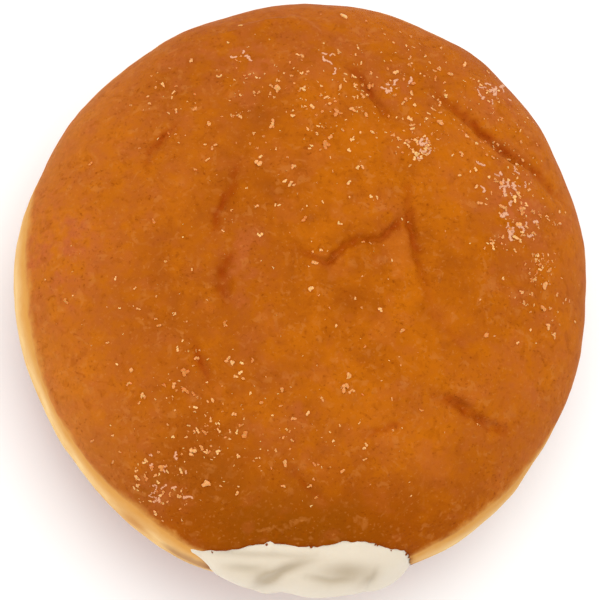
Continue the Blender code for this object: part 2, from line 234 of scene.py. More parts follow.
# Where the crust is browned more or less than the rest, and in the first row painted shade on the front above
# the mouth: X, Y, half width, half length, how much more
STAINS_AND_SHADE = (
    (-2.0, -40.0, 20.0, 10.5, 1.0),
    (-11.0, 3.0, 8.0, 8.0, 0.25),
    (-26.0, -33.0, 6.0, 5.0, 0.55),
    (18.0, 29.5, 6.0, 5.0, 0.25),
    (-4.0, 36.0, 16.0, 6.0, 0.3),
    (-8.0, -24.0, 5.0, 4.0, -0.25),
    (-37.0, -24.0, 5.0, 6.0, 0.2),
    (12.2, -1.0, 1.8, 6.0, -0.7),
    (-13.0, 0.0, 8.0, 30.0, 0.35),
    (-9.0, 24.2, 4.5, 4.0, 0.5),
    (-17.0, -28.0, 8.0, 6.0, 0.4),
    (-3.0, -26.0, 6.0, 6.0, 0.3),
    (7.0, -21.5, 6.0, 3.5, -0.5),
    (25.0, -26.0, 6.0, 5.0, -0.1),
    (5.0, 3.0, 7.0, 3.5, 0.15),
    (20.1, -11.6, 2.6, 3.0, 0.5),
    (4.1, -5.8, 2.6, 2.6, 0.5),
    (-22.0, -3.0, 5.0, 6.0, 0.3),
    (19.8, 16.1, 8.0, 9.0, -0.25),
    (-34.0, 13.4, 8.0, 12.0, -0.3),
    (-26.0, 18.0, 8.0, 8.0, 0.3),
    (14.7, -9.0, 6.0, 14.0, -0.3),
    (0.2, 29.8, 4.0, 6.0, -0.25),
    (17.0, -23.0, 7.0, 4.0, -0.3),
    (-31.8, -19.7, 7.0, 10.0, -0.15),
)
# Where it has a pinkish bloom: X, Y, half width, half length, strength
BLOOMS = (
    (-38.1, 2.7, 5.0, 6.0, 0.9),
    (-12.4, -0.4, 4.5, 6.5, 0.6),
    (9.4, 8.9, 3.4, 2.4, 0.6),
    (-8.8, -12.3, 4.0, 5.0, 0.25),
    (-5.5, -22.8, 4.0, 5.0, 0.2),
    (30.2, 11.0, 4.0, 6.0, 0.7),
    (-23.6, -32.9, 3.8, 3.2, 0.5),
    (29.5, 31.0, 4.0, 5.0, 0.6),
    (-11.8, 33.0, 5.0, 4.0, 0.4),
    (11.6, 29.2, 3.0, 3.0, 0.5),
    (-18.0, -26.0, 8.0, 7.0, -0.3),
)
# The painted sheen's strength all round the shoulder. It starts and is full at these shares of the radius,
# away from the middle and along Y
SHEEN_RING = 0.3
SHEEN_SHOULDER = (0.35, 0.8)
SHEEN_FRONT = (-0.85, -0.5)
# How the edges of stains and blooms fray: how far apart, and how far
SPOT_FRAY = (4.0 * MM, 1.6 * MM)
# Flakes of dried sugar: X, Y and spread of each patch, how many flakes, and how dry they are
FLAKES = (
    (28.8, 14.4, 1.9, 16, 1.5),
    (30.4, 8.2, 1.5, 11, 1.5),
    (15.4, 19.2, 0.9, 7, 1.4),
    (11.3, 29.2, 1.1, 6, 1.0),
    (1.9, 33.0, 1.2, 5, 1.0),
    (-22.6, -32.4, 1.8, 14, 0.6),
    (28.3, 31.4, 2.0, 14, 1.0),
    (-11.6, 32.6, 1.0, 4, 0.8),
)
# Fine folds in the cream's shoulder: half width, depth and the route seen from above
CREAM_FINE_CREASES = (
    (0.45, 0.16, ((-16.2, -40.8), (-9.0, -41.4), (-2.0, -41.6), (0.6, -41.3))),
    (0.6, 0.20, ((-12.6, -43.0), (-9.0, -43.4), (-6.8, -43.3))),
    (0.5, 0.22, ((-0.6, -44.4), (3.2, -45.0), (6.6, -44.6))),
)
# How unevenly the dough is torn along the mouth: how far apart, and how far
TORN = ((0.9 * MM, 0.09 * MM), (3.5 * MM, 0.08 * MM))
# Where the dough beside the mouth dried to a dull brown: X, Y, half width, half length and strength
SCABS = ((-19.5, -41.0, 3.0, 2.4, 1.1), (-16.0, -42.0, 2.4, 2.0, 1.3))
# Such spots come up, and then fade, between these heights above the equator, in millimetres
SPOT_FOOT = (-6.5, 0.5)
SPOT_HEAD = (0.5, 5.5)
# Where the lip's dark edge, torn brown and painted shade of the gap under it, is wide and unbroken: X, Y,
# half width, half length, and how much wider
SCAR_AND_SHADE = ((-16.5, -42.0, 3.0, 3.0, 1.9),)
# Where the band is golden rather than pale: X, Y, half width, half length and strength
TOASTED = ((16.0, -42.0, 4.0, 3.0, 1.0), (-25.5, -35.6, 4.5, 3.0, 0.85), (38.0, -21.0, 4.0, 5.0, 0.4))
# The band's colour reaches this much lower than its relief
BAND_GLOW = 2.2 * MM
# How far large, middling and fine noise move its edges
BAND_FRAY = (3.0 * MM, 2.6 * MM, 0.8 * MM)
# Heights above its upper edge and above its lower one between which crust turns to gold, and gold to pale
GOLD_EDGES = ((-1.3 * MM, 1.0 * MM), (-0.9 * MM, 1.2 * MM))
PALE_EDGES = ((-5.6 * MM, -1.0 * MM), (0.5 * MM, 2.4 * MM))
# The dough that still covers the mouth's lower left corner: X and height above the equator, half width and
# half height, how far the cut stays back there
POCKET_KEPT = ((-17.5, 2.5), (3.5, 4.5), 1.1)
# Little peaks of cream over the lip: X, half width, height; and where they are along Y, and how long
CREAM_PEAKS = ((-6.4, 0.8, 0.5), (6.6, 0.9, 0.25), (11.2, 0.8, 0.15), (-14.6, 1.0, 0.2), (-2.4, 1.2, 0.15))
PEAK_Y = -40.2
PEAK_LONG = 1.6
# How far in front of the origin the cream's fine folds start and are full
CREAM_SHOULDER = (39.6 * MM, 41.0 * MM)
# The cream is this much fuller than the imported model's
CREAM_PLUMP = 0.15 * MM
# The cream is fully shaded where its folds are this deep, and the fine ones count for more
FOLD_DEEP = 0.6 * MM
FOLD_FINE = 1.5
# How far the lip's dark edge, torn brown and painted shade of the gap under it, reaches, and how far behind
# the cream's front it can be
LIP_DARK = 0.45 * MM
LIP_REGION = 12 * MM
# It is broken: its mean, by how much it varies, and how far apart
LIP_BROKEN = (0.75, 0.9, 1.5 * MM)
# The pale rim of the crust, partly crust paler towards the band and partly painted sheen: how far it reaches,
# how pale it is, how much paler at the left and less pale at the back, and the shares of the radius along Y
# between which it changes at the back and the front
RIM_FADE = 5.5 * MM
RIM_PALE = 0.68
RIM_LEFT = 0.28
RIM_BACK_LESS = 0.5
RIM_BACK = (0.5, 0.9)
RIM_FRONT = (-0.9, -0.55)
# Each kind of unevenness has its own noise, and its further axes and layers have the next ones
TORN_NOISE = 21
LIP_NOISE = 25
STRAY_NOISE = 41
CREASE_DEPTH_NOISE = 51
CREASE_SHADE_NOISE = 52
SPOT_NOISE = 61
# Fineness of the balls that the crust and the cream are made from, as Blender counts subdivisions
CRUST_CUTS = 8
CREAM_CUTS = 7
# The crust's corners crowd towards its top: the ball's upright stretch, and how far its middle is moved up
CRUST_STRETCH = 1.5
CRUST_LIFT = 0.45
# Shares of their triangles that the crust and the pocket's wall keep, and what counts as a sharp edge
CRUST_TRIANGLES = 0.54
POCKET_TRIANGLES = 0.25
SHARP_EDGE = math.radians(50)

# A grain is a clump of crystals: how many it may have, how far apart, and how proud they stand, in radii
CLUMP_CRYSTALS = (1, 2, 2, 3)
CLUMP_STEP = (0.7, 1.3)
CLUMP_PROUD = 0.2
# How crystals are stretched in a grain and in a crumb, and how far each corner of one is out of true
GRAIN_STRETCH = ((0.8, 1.3), (0.55, 0.9), (0.4, 0.7))
CRUMB_STRETCH = ((0.6, 1.3),) * 3
CORNER_STRETCH = ((0.75, 1.2),) * 3
# More grains are wet than dry, by this power
GRAIN_DRYNESS = 1.2
# Flakes are chains of thin crystals: how many, their radius, their length and width in radii, how far apart
# they are, how sharply the chain winds, and the seed
FLAKE_LINKS = (2, 7)
FLAKE_RADIUS = (0.14 * MM, 0.28 * MM)
FLAKE_LONG = (1.1, 1.7)
FLAKE_WIDE = (0.6, 1.1)
FLAKE_STEP = 0.24 * MM
FLAKE_TURN = 0.7  # radians
FLAKE_SEED = 70
# Crumbs along the lip: how many, radius, how far they fell, how proud they stand in radii, and the seed
CRUMBS = 9
CRUMB_RADIUS = (0.10 * MM, 0.24 * MM)
CRUMB_SPREAD = 0.15 * MM
CRUMB_PROUD = 0.3
CRUMB_SEED = 3

# The stage: the floor's reach, each lamp's size and place, what the camera looks at, and its sensor's width
FLOOR_REACH = 1.5
KEY_LAMP = (0.4, (0.0, 0.12, 0.55))
SIDE_LAMP = (0.25, (-0.36, -0.28, 0.10))
AIM = (-0.34 * MM, -0.55 * MM, EQUATOR)
SENSOR = 36  # millimetres
NEAREST_SEEN = 0.01


# --- Settings -------------------------------------------------------------------------------------


def colour(name, description, value):
    return FloatVectorProperty(
        name=name, description=description, subtype="COLOR", size=3, min=0, max=1, default=value
    )


def share(name, description, value):
    return FloatProperty(name=name, description=description, subtype="FACTOR", min=0, max=1, default=value)


def length(name, description, value):
    return FloatProperty(
        name=name, description=description, subtype="DISTANCE", unit="LENGTH", precision=5, default=value
    )


def angle(name, description, value):
    return FloatProperty(name=name, description=description, subtype="ANGLE", default=math.radians(value))


def power(name, description, value):
    return FloatProperty(
        name=name, description=description, subtype="POWER", unit="POWER", min=0, default=value
    )


class CrustSettings(PropertyGroup):
    amber: colour("Amber", "Crust where it is browned least", srgb(179, 93, 1))
    brown: colour("Brown", "Crust where it is browned most", srgb(149, 70, 0))
    # Painted shade: the front above the mouth, darker because it faces away from the light
    deep: colour("Deep", "Crust above the mouth, where it is browned through", srgb(133, 66, 0))
    # Pinkish stains where sugar has melted in, and painted sheen all round the shoulder
    bloom_and_sheen: colour("Bloom", "Pinkish stains where sugar has melted in", srgb(176, 90, 42))
    # Paler crust towards the band, partly painted sheen at the rim
    rim: colour("Rim", "Paler crust towards the band", srgb(192, 119, 55))
    # Painted shade at the bottom of the creases
    crease: colour("Crease", "Bottom of the creases", srgb(148, 58, 2))
    # Also the lip's dark edge, which is partly painted shade of the gap under it
    crack: colour("Crack", "Edge of the torn lip and dark specks", srgb(122, 50, 0))
    gold: colour("Gold", "Edge of the band, where the crust starts to brown", srgb(208, 147, 70))
    band: colour("Band", "Pale band around the middle", srgb(234, 198, 138))
    scab: colour("Scab", "Dull dried dough beside the mouth", srgb(168, 120, 78))
    crumb: colour("Crumb", "Torn dough inside the mouth", srgb(193, 150, 93))
    roughness: share("Roughness", "Roughness of the crust", 0.55)
    wrinkle: length("Wrinkle", "Height of the fine wrinkles", 0.07 * MM)


class CreamSettings(PropertyGroup):
    light: colour("Light", "Cream on its smooth swellings", srgb(218, 205, 184))
    shade: colour("Shade", "Cream in its folds", srgb(181, 164, 138))
    roughness: share("Roughness", "Roughness of the cream", 0.42)
    softness: share("Softness", "How much light goes through its skin", 0.35)


class SugarSettings(PropertyGroup):
    fine_grains: IntProperty(name="Fine grains", description="How many there are", min=0, default=1200)
    smallest: length("Smallest", "Radius of the finest grain", 0.12 * MM)
    largest: length("Largest", "Radius of the largest of the fine grains", 0.32 * MM)
    # Grains are honey where wet and white where dry, and dry grains and flakes are paler towards their tops
    # as painted highlight
    honey: colour("Honey", "Grains that are wet through", srgb(201, 116, 37))
    white: colour("White", "Grains that stayed dry", srgb(244, 188, 118))
    flake: colour("Flake", "Syrup that dried in thin flakes", srgb(218, 160, 122))
    flake_height: length("Flake height", "How far the flakes stand proud", 0.14 * MM)


class StageSettings(PropertyGroup):
    floor: colour("Floor", "Pale floor", (0.96, 0.96, 0.96))
    distance: length("Distance", "From the camera to what it looks at", 0.36)
    span: length("Span", "Width of what the camera sees at that distance", 93 * MM)
    tilt: angle("Tilt", "How far the camera leans off the vertical", 16)
    turn: angle("Turn", "Which way it leans", 238)
    key: power("Key", "Soft light from above", 1.2)
    side: power("Side", "Soft low light from the mouth's left", 0.28)
    fill: FloatProperty(name="Fill", description="Strength of the light from all round", min=0, default=0.97)


# --- Forms ----------------------------------------------------------------------------------------


def smooth_noise(points, size, seed):
    """Noise from -1 to 1 with bumps of this size."""
    away = Vector((7.1 * seed, -3.7 * seed, 5.3 * seed))
    return np.array([noise.noise(Vector(p) / size + away) for p in points])


def waves(angle, terms):
    """Sum of cosines around the dough: (waves in a turn, height, direction of a crest in degrees) each."""
    return sum(height * np.cos(count * (angle - math.radians(crest))) for count, height, crest in terms)


def rise(value, start, end):
    """0 before start, 1 after end, smooth between."""
    t = np.clip((value - start) / (end - start), 0, 1)
    return t * t * (3 - 2 * t)


def dough_surface(directions):
    """The smooth dough's points in these directions from its middle, and its normals there."""
    x, y, z = directions.T
    level = np.hypot(x, y)
    reach = (level**DOUGH_FULLNESS + np.abs(z) ** DOUGH_FULLNESS) ** (-1 / DOUGH_FULLNESS)
    radius = DOUGH_RADIUS + waves(np.arctan2(y, x), OUTLINE_WAVES)
    height = np.where(z > 0, DOUGH_CROWN, DOUGH_BELLY)
    points = np.stack([radius * x, radius * y, height * z], axis=1) * reach[:, None]
    outward = (reach * level) ** (DOUGH_FULLNESS - 1) / radius / np.maximum(level, 1e-9)
    upward = np.sign(z) * (reach * np.abs(z)) ** (DOUGH_FULLNESS - 1) / height
    normals = np.stack([outward * x, outward * y, upward], axis=1)
    normals /= np.linalg.norm(normals, axis=1)[:, None]
    return points + np.array([*DOUGH_CENTRE, EQUATOR]), normals


def inside_band(points):
    """1 on the pale band, 0 on the crust above and below it."""
    angle = np.arctan2(points[:, 1] - DOUGH_CENTRE[1], points[:, 0] - DOUGH_CENTRE[0])
    height = points[:, 2] - EQUATOR
    top = BAND_TOP + waves(angle, BAND_TOP_WAVES)
    bottom = BAND_BOTTOM + waves(angle, BAND_BOTTOM_WAVES)
    below_top = 1 - rise(height, top - BAND_EDGE, top)
    return below_top * rise(height, bottom, bottom + BAND_EDGE)


def route_distance(points, route):
    """How far each point is from a route seen from above, and what share of the route leads to there."""
    route = np.array(route) * MM
    lengths = np.linalg.norm(np.diff(route, axis=0), axis=1)
    nearest = np.full(len(points), np.inf)
    share = np.zeros(len(points))
    passed = 0.0
    for start, end, length in zip(route, route[1:], lengths):
        step = (end - start) / length
        along = np.clip((points[:, :2] - start) @ step, 0, length)
        distance = np.linalg.norm(points[:, :2] - start - along[:, None] * step, axis=1)
        closer = distance < nearest
        nearest[closer] = distance[closer]
        share[closer] = (passed + along[closer]) / lengths.sum()
        passed += length
    return nearest, share


def under_routes():
    """The underside's creases: short routes that start anywhere and bend at random."""
    draw = random.Random(UNDER_SEED)
    count, length, _, _ = UNDER_CREASES
    for number in range(count):
        angle = math.tau * (number + draw.random()) / count
        away = draw.uniform(*UNDER_AWAY)
        heading = angle + draw.uniform(*UNDER_HEADING)
        x, y = away * math.cos(angle), away * math.sin(angle)
        route = [(x, y)]
        for _ in range(UNDER_BENDS):
            heading += draw.uniform(-UNDER_BEND, UNDER_BEND)
            x += length / UNDER_BENDS * math.cos(heading)
            y += length / UNDER_BENDS * math.sin(heading)
            route.append((x, y))
        yield route


def crease(points, half_width, depth, route, narrow=1.0):
    """A groove in a shallow hollow along the route, which fades at its ends."""
    distance, share = route_distance(points, route)
    across = distance / (half_width * MM)
    fade = np.sqrt(np.sin(math.pi * np.clip(share, CREASE_END, 1 - CREASE_END)))
    wider, shallower = CREASE_HOLLOW
    groove = np.exp(-((across / narrow) ** 2)) + shallower * np.exp(-((across / wider) ** 2))
    return depth * MM * fade * groove


def strayed(points):
    """The points shifted sideways a little, unevenly, so that what follows a route there strays from it."""
    shifted = points.copy()
    for number, (apart, far) in enumerate(CREASE_STRAYS):
        for axis in (0, 1):
            shifted[:, axis] += far * smooth_noise(points, apart, STRAY_NOISE + 2 * number + axis)
    return shifted


def crust_relief(points):
    """How far the crust stands proud of the smooth dough."""
    relief = -BAND_SINK * inside_band(points)
    for number, (size, height) in enumerate(LUMPS + FINE_LUMPS):
        relief += height * smooth_noise(points, size, number + 1)
    nearby = strayed(points)
    mean, much, apart = CREASE_DEPTHS
    uneven = mean + much * smooth_noise(points, apart, CREASE_DEPTH_NOISE)
    upper = uneven * (1 - spots(points, WORN)) * rise(points[:, 2], EQUATOR, EQUATOR + CREASE_FADE)
    for half_width, depth, route in CREASES:
        relief -= upper * crease(nearby, half_width, depth, route, CREASE_NARROW)
    lower = uneven * rise(-points[:, 2], -EQUATOR, CREASE_FADE - EQUATOR)
    _, _, half_width, depth = UNDER_CREASES
    for route in under_routes():
        relief -= lower * crease(nearby, half_width, depth, route, CREASE_NARROW)
    return relief


def crease_shade(points):
    """Painted shade in the creases: 0 on open crust to 1 at the bottom of the deepest crease."""
    shade = np.zeros(len(points))
    nearby = strayed(points)
    deepest = max(depth for _, depth, _ in CREASES)
    shallow, thinning = CREASE_THIN
    for half_width, depth, route in CREASES:
        distance, along = route_distance(nearby, route)
        fade = np.sin(math.pi * np.clip(along, *CREASE_TIPS)) ** CREASE_BLUNT
        thin = min(1, abs(depth) / shallow) ** thinning
        line = np.exp(-((distance / (CREASE_LINE * thin * half_width * MM)) ** 2))
        shade = np.maximum(shade, fade * line * (max(depth, 0) / deepest) ** CREASE_SHALLOW)
    mean, much, apart, most = CREASE_SHADES
    uneven = np.clip(mean + much * smooth_noise(points, apart, CREASE_SHADE_NOISE), 0, most)
    return shade * uneven * (1 - spots(points, WORN)) * (points[:, 2] > EQUATOR)


def spots(points, places):
    """Sum of soft spots seen from above: X, Y, half width, half length and strength of each."""
    x, y = points[:, :2].T / MM
    return sum(much * bump(x, y, (at_x, at_y), (wide, long)) for at_x, at_y, wide, long, much in places)


def blotches(points, places):
    """Sum of soft spots on the top crust, each with a frayed edge."""
    apart, far = SPOT_FRAY
    away = np.stack([smooth_noise(points, apart, SPOT_NOISE + axis) for axis in (0, 1)], axis=1)
    return spots(points[:, :2] + far * away, places) * rise(points[:, 2], EQUATOR, EQUATOR + BAND_TOP)


def bump(first, second, middle, halves):
    """A smooth rise to 1 around a middle, as wide each way as its halves say."""
    return np.exp(-(((first - middle[0]) / halves[0]) ** 2) - ((second - middle[1]) / halves[1]) ** 2)


def cream_relief(points):
    """How far the cream's front swells forward of its smooth form, and how far it is sunk below that."""
    x, y, z = points.T / MM
    z = z - EQUATOR / MM
    swollen = sum(depth * bump(x, z, at, halves) for at, halves, depth in CREAM_SWELLINGS)
    sunk = sum(depth * bump(x, y, at, halves) for at, halves, depth in CREAM_DIMPLES) * MM
    for half_width, depth, route in CREAM_CREASES:
        sunk = sunk + crease(points, half_width, depth, route)
    swollen = swollen * MM * rise(-points[:, 1], *CREAM_SWELLS)
    return swollen, sunk * rise(z, *CREAM_FOLDS_END) * rise(-points[:, 1], *CREAM_FOLDS_OVER)


def cream_frame():
    """The tongue's middle, its half sizes and its turn."""
    centre = np.array([CREAM_CENTRE[0], (CREAM_BACK + CREAM_FRONT) / 2, CREAM_CENTRE[1]])
    halves = np.array([CREAM_HALF_WIDTH, (CREAM_BACK - CREAM_FRONT) / 2, CREAM_HALF_HEIGHT])
    return centre, halves, np.array(Matrix.Rotation(-CREAM_ROLL, 3, "Y"))


def cream_surface(directions, grow=0.0):
    """The cream's points in these directions from its middle, its skin moved out by grow, and its normals."""
    centre, halves, roll = cream_frame()
    halves = halves + grow
    reach = (np.abs(directions) ** CREAM_FULLNESS).sum(axis=1) ** (-1 / CREAM_FULLNESS)
    unit = directions * reach[:, None]
    normals = np.sign(unit) * np.abs(unit) ** (CREAM_FULLNESS - 1) / halves
    normals = normals / np.linalg.norm(normals, axis=1)[:, None] @ roll.T
    points = centre + (unit * halves) @ roll.T
    upper = rise(points[:, 2], CREAM_CENTRE[1], CREAM_CENTRE[1] + CREAM_HALF_HEIGHT)
    for x, half_width, drop in CREAM_SAGS:
        points[:, 2] -= drop * MM * upper * np.exp(-(((points[:, 0] / MM - x) / half_width) ** 2))
    swollen, sunk = cream_relief(points)
    return points - swollen[:, None] * np.array([0, 1, 0]) - sunk[:, None] * normals, normals


# --- Meshes ---------------------------------------------------------------------------------------


def ball(cuts, stretch=1.0, lift=0.0):
    """A ball of triangles, and its corners as unit vectors, crowded towards its poles or top if asked for."""
    bm = bmesh.new()
    bmesh.ops.create_icosphere(bm, subdivisions=cuts, radius=1.0)
    directions = np.array([corner.co for corner in bm.verts]) * (1, 1, stretch) + (0, 0, lift)
    return bm, directions / np.linalg.norm(directions, axis=1)[:, None]


def mesh_object(bm, name, points=None):
    """The mesh as a named object in the scene, its corners moved to these points if they are given."""
    mesh = bpy.data.meshes.new(name)
    bm.to_mesh(mesh)
    bm.free()
    if points is not None:
        mesh.vertices.foreach_set("co", np.asarray(points, dtype=np.float32).ravel())
    made = bpy.data.objects.new(name, mesh)
    bpy.context.scene.collection.objects.link(made)
    return made


def corners_of(mesh):
    """Where the mesh's corners are, as rows."""
    points = np.empty(len(mesh.vertices) * 3, dtype=np.float32)
    mesh.vertices.foreach_get("co", points)
    return points.reshape(-1, 3).astype(float)


def numbers_of(items, name):
    """One whole number of each of a mesh's faces or face corners."""
    values = np.empty(len(items), dtype=np.int32)
    items.foreach_get(name, values)
    return values


def store(mesh, name, values):
    """A number for each corner, for the shader."""
    kept = mesh.attributes.new(name, "FLOAT", "POINT")
    kept.data.foreach_set("value", np.asarray(values, dtype=np.float32))


def apply_modifiers(made):
    """Makes what the modifiers show the object's own mesh."""
    bpy.context.view_layer.objects.active = made
    for step in list(made.modifiers):
        bpy.ops.object.modifier_apply(modifier=step.name)


def thin_out(made, share):
    """Leaves this share of the triangles."""
    made.modifiers.new("thin_out", "DECIMATE").ratio = share
    apply_modifiers(made)


def cut_away(made, cutter):
    """Cuts the object by another, which is then removed."""
    step = made.modifiers.new("cut", "BOOLEAN")
    step.operation = "DIFFERENCE"
    step.solver = "MANIFOLD"
    step.object = cutter
    apply_modifiers(made)
    bpy.data.objects.remove(cutter)


def dress(piece, slot, *materials):
    """Gives a piece its materials and its place in the frame."""
    for material in materials:
        piece.data.materials.append(material)
    piece.data.shade_smooth()
    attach(piece, BODY)


# --- Shader maths ---------------------------------------------------------------------------------


class Value:
    """A socket that takes part in Python's arithmetic by adding Math nodes."""

    def __init__(self, nodes, socket):
        self.nodes = nodes
        self.socket = socket

    def math(self, operation, *others):
        return self.nodes.add("Math", {"operation": operation}, dict(enumerate((self, *others))))

    def __add__(self, other):
        return self.math("ADD", other)

    __radd__ = __add__

    def __sub__(self, other):
        return self.math("SUBTRACT", other)

    def __rsub__(self, other):
        return self.nodes.add("Math", {"operation": "SUBTRACT"}, {0: other, 1: self})

    def __mul__(self, other):
        return self.math("MULTIPLY", other)

    __rmul__ = __mul__

    def between(self, low, high):
        """0 below low, 1 above high, smooth between."""
        settings = {"interpolation_type": "SMOOTHSTEP"}
        return self.nodes.add("MapRange", settings, {"Value": self, "From Min": low, "From Max": high})


class Nodes:
    """A material's nodes, each added by one method."""

    def __init__(self, name):
        self.material = bpy.data.materials.new(name)
        self.material.use_nodes = True
        self.tree = self.material.node_tree
        self.tree.nodes.clear()

    def add(self, kind, settings=None, sockets=None, out=0):
        """A node of this kind: its settings first, then its sockets, and the output asked for."""
        node = self.tree.nodes.new("ShaderNode" + kind)
        for name, value in (settings or {}).items():
            setattr(node, name, value)
        for name, value in (sockets or {}).items():
            if isinstance(value, Value):
                self.tree.links.new(value.socket, node.inputs[name])
            elif node.inputs[name].type == "RGBA":
                node.inputs[name].default_value = (*value, 1.0)
            else:
                node.inputs[name].default_value = value
        return Value(self, node.outputs[out])

    def mix(self, amount, first, second):
        """One colour turning into another."""
        sockets = {0: amount, 6: first, 7: second}
        return self.add("Mix", {"data_type": "RGBA"}, sockets, out=2)

    def layered(self, base, *layers):
        """A colour with others laid over it in turn: (how much, the colour) each."""
        for amount, laid in layers:
            base = self.mix(amount, base, laid)
        return base

    def place(self):
        return self.add("TexCoord", out="Object")

    def stored(self, name):
        return self.add("Attribute", {"attribute_name": name}, out="Fac")

    def grain(self, place, size, detail=2.0, roughness=0.5):
        """Noise around 0.5, with bumps of this size in metres."""
        sockets = {"Vector": place, "Scale": 1 / size, "Detail": detail, "Roughness": roughness}
        return self.add("TexNoise", None, sockets)

    def vector(self, operation, first, second):
        """Vector maths with two vectors."""
        return self.add("VectorMath", {"operation": operation}, {0: first, 1: second})

    def scaled(self, vector, amount):
        """A vector, or a colour, times a number."""
        return self.add("VectorMath", {"operation": "SCALE"}, {0: vector, "Scale": amount})

    def shaken(self, place, size, far):
        """The place moved about by noise, so that what is drawn there isn't round or straight."""
        sockets = {"Vector": place, "Scale": 1 / size, "Detail": 1.0}
        away = self.vector("SUBTRACT", self.add("TexNoise", None, sockets, out="Color"), (0.5, 0.5, 0.5))
        return self.vector("ADD", place, self.scaled(away, far))

    def dots(self, place, size):
        """Distance from scattered points this far apart."""
        return self.add("TexVoronoi", None, {"Vector": place, "Scale": 1 / size}, out="Distance")

    def surface(self, base, roughness, height, relief, constants):
        """The finished skin: its colour, its roughness, its relief and what is the same all over."""
        normal = self.add("Bump", None, {"Strength": 1.0, "Distance": relief, "Height": height})
        sockets = {"Base Color": base, "Roughness": roughness, "Normal": normal, **constants}
        self.add_output(self.add("BsdfPrincipled", None, sockets))
        return self.material

    def add_output(self, skin):
        output = self.tree.nodes.new("ShaderNodeOutputMaterial")
        self.tree.links.new(skin.socket, output.inputs["Surface"])


# --- Finishes -------------------------------------------------------------------------------------

# The crust's clouds, mottling, fine mottling and wrinkles: size of a bump, detail and roughness of each noise
CRUST_NOISES = (
    (15 * MM, 3.0, 0.55),
    (3.2 * MM, 4.0, 0.6),
    (0.9 * MM, 5.0, 0.7),
    (1.6 * MM, 5.0, 0.62),
)
BLUSH = (4.5 * MM, 3.0, 0.55)
# Dark specks and pale flecks, then pits and scuffs: size, and how far apart and how far they are shaken
GRIT_SIZE = 0.5 * MM
GRIT_SHAKEN = (0.8 * MM, 0.6 * MM)
SKIN_SIZE = 1.5 * MM
SKIN_SHAKEN = (3.5 * MM, 3.2 * MM)
# Specks and scuffs crowd in clusters of this size
CLUSTER_SIZE = 6 * MM


def band_height(nodes, place, level, terms):
    """Height above the band's edge, which waves around the dough as the form's does."""
    across = nodes.vector("SUBTRACT", place, (*DOUGH_CENTRE, EQUATOR))
    x, y, z = (nodes.add("SeparateXYZ", None, {0: across}, out=axis) for axis in "XYZ")
    angle = y.math("ARCTAN2", x)
    edge = z - level
    for count, height, crest in terms:
        edge = edge - height * (count * (angle - math.radians(crest))).math("COSINE")
    return edge


def band_masks(nodes, place, noises):
    """Where the band and its golden edge are, and where it is pale, with edges frayed by three noises."""
    fray = sum((moved - 0.5) * far for moved, far in zip(noises, BAND_FRAY))
    above = band_height(nodes, place, BAND_TOP, BAND_TOP_WAVES) + fray
    below = band_height(nodes, place, BAND_BOTTOM - BAND_GLOW, BAND_BOTTOM_WAVES) + fray
    return [(1 - above.between(*upper)) * below.between(*lower) for upper, lower in (GOLD_EDGES, PALE_EDGES)]


def crust_material(look):
    nodes = Nodes("fried_crust")
    place = nodes.place()
    clouds, mottle, fine, wrinkles = (nodes.grain(place, *sizes) for sizes in CRUST_NOISES)
    grit = nodes.grain(nodes.shaken(place, *GRIT_SHAKEN), GRIT_SIZE)
    skin = nodes.grain(nodes.shaken(place, *SKIN_SHAKEN), SKIN_SIZE)
    clusters = nodes.grain(place, CLUSTER_SIZE).between(0.42, 0.58)
    blush = nodes.grain(place, *BLUSH).between(0.52, 0.66)
    scuffs = skin.between(0.56, 0.68) * (0.35 + 0.65 * clusters)
    pits = 1 - skin.between(0.32, 0.44)
    specks = grit.between(0.60, 0.68) * (0.2 + 0.4 * clusters + 0.4 * pits)
    flecks = 1 - grit.between(0.28, 0.38)

    # browned carries the browning and the painted shade on the front above the mouth
    browned, rim, toast = (nodes.stored(name) for name in ("browning_and_shade", "rim", "toast"))
    browning_and_shade = 0.40 * clouds + 0.35 * mottle + 0.25 * fine + 0.17 * browned
    base = nodes.layered(
        look.amber,
        (browning_and_shade.between(0.38, 0.66), look.brown),
        # Painted shade on the front above the mouth
        (0.8 * browned.between(0.5, 1.0), look.deep),
        # Pale rim, partly painted sheen
        (rim * (0.7 + 0.6 * (mottle - 0.5)), look.rim),
        # Blooms, and painted sheen all round the shoulder
        (nodes.stored("bloom_and_sheen") * mottle.between(0.35, 0.65) + 0.2 * blush, look.bloom_and_sheen),
        (0.28 * scuffs, look.rim),
        (0.35 * pits, look.brown),
        # Painted shade in the creases
        (0.8 * nodes.stored("crease"), look.crease),
        (0.3 * flecks, look.rim),
    )
    base = nodes.scaled(base, 1 + (0.36 + 0.6 * rim) * (fine - 0.5))

    gold, pale = band_masks(nodes, place, (clouds, mottle, fine))
    patchy = 0.55 + 0.2 * clusters + 0.25 * mottle.between(0.4, 0.6)
    scab = (nodes.stored("scab") + 0.9 * (mottle - 0.5)).between(0.1, 1.0)
    base = nodes.layered(
        base,
        (0.55 * specks, look.crack),
        (gold * (1 - 0.6 * toast), look.gold),
        (pale * patchy * (1 - 0.9 * toast), look.band),
        (0.8 * scab, look.scab),
        # The lip's torn brown and painted shade of the gap under it
        (0.85 * nodes.stored("lip"), look.crack),
    )

    relief = wrinkles + 0.4 * fine - 0.3 * specks
    roughness = look.roughness + 0.25 * (mottle - 0.5) + 0.15 * pale
    return nodes.surface(base, roughness, relief, look.wrinkle, {"Specular IOR Level": 0.02})


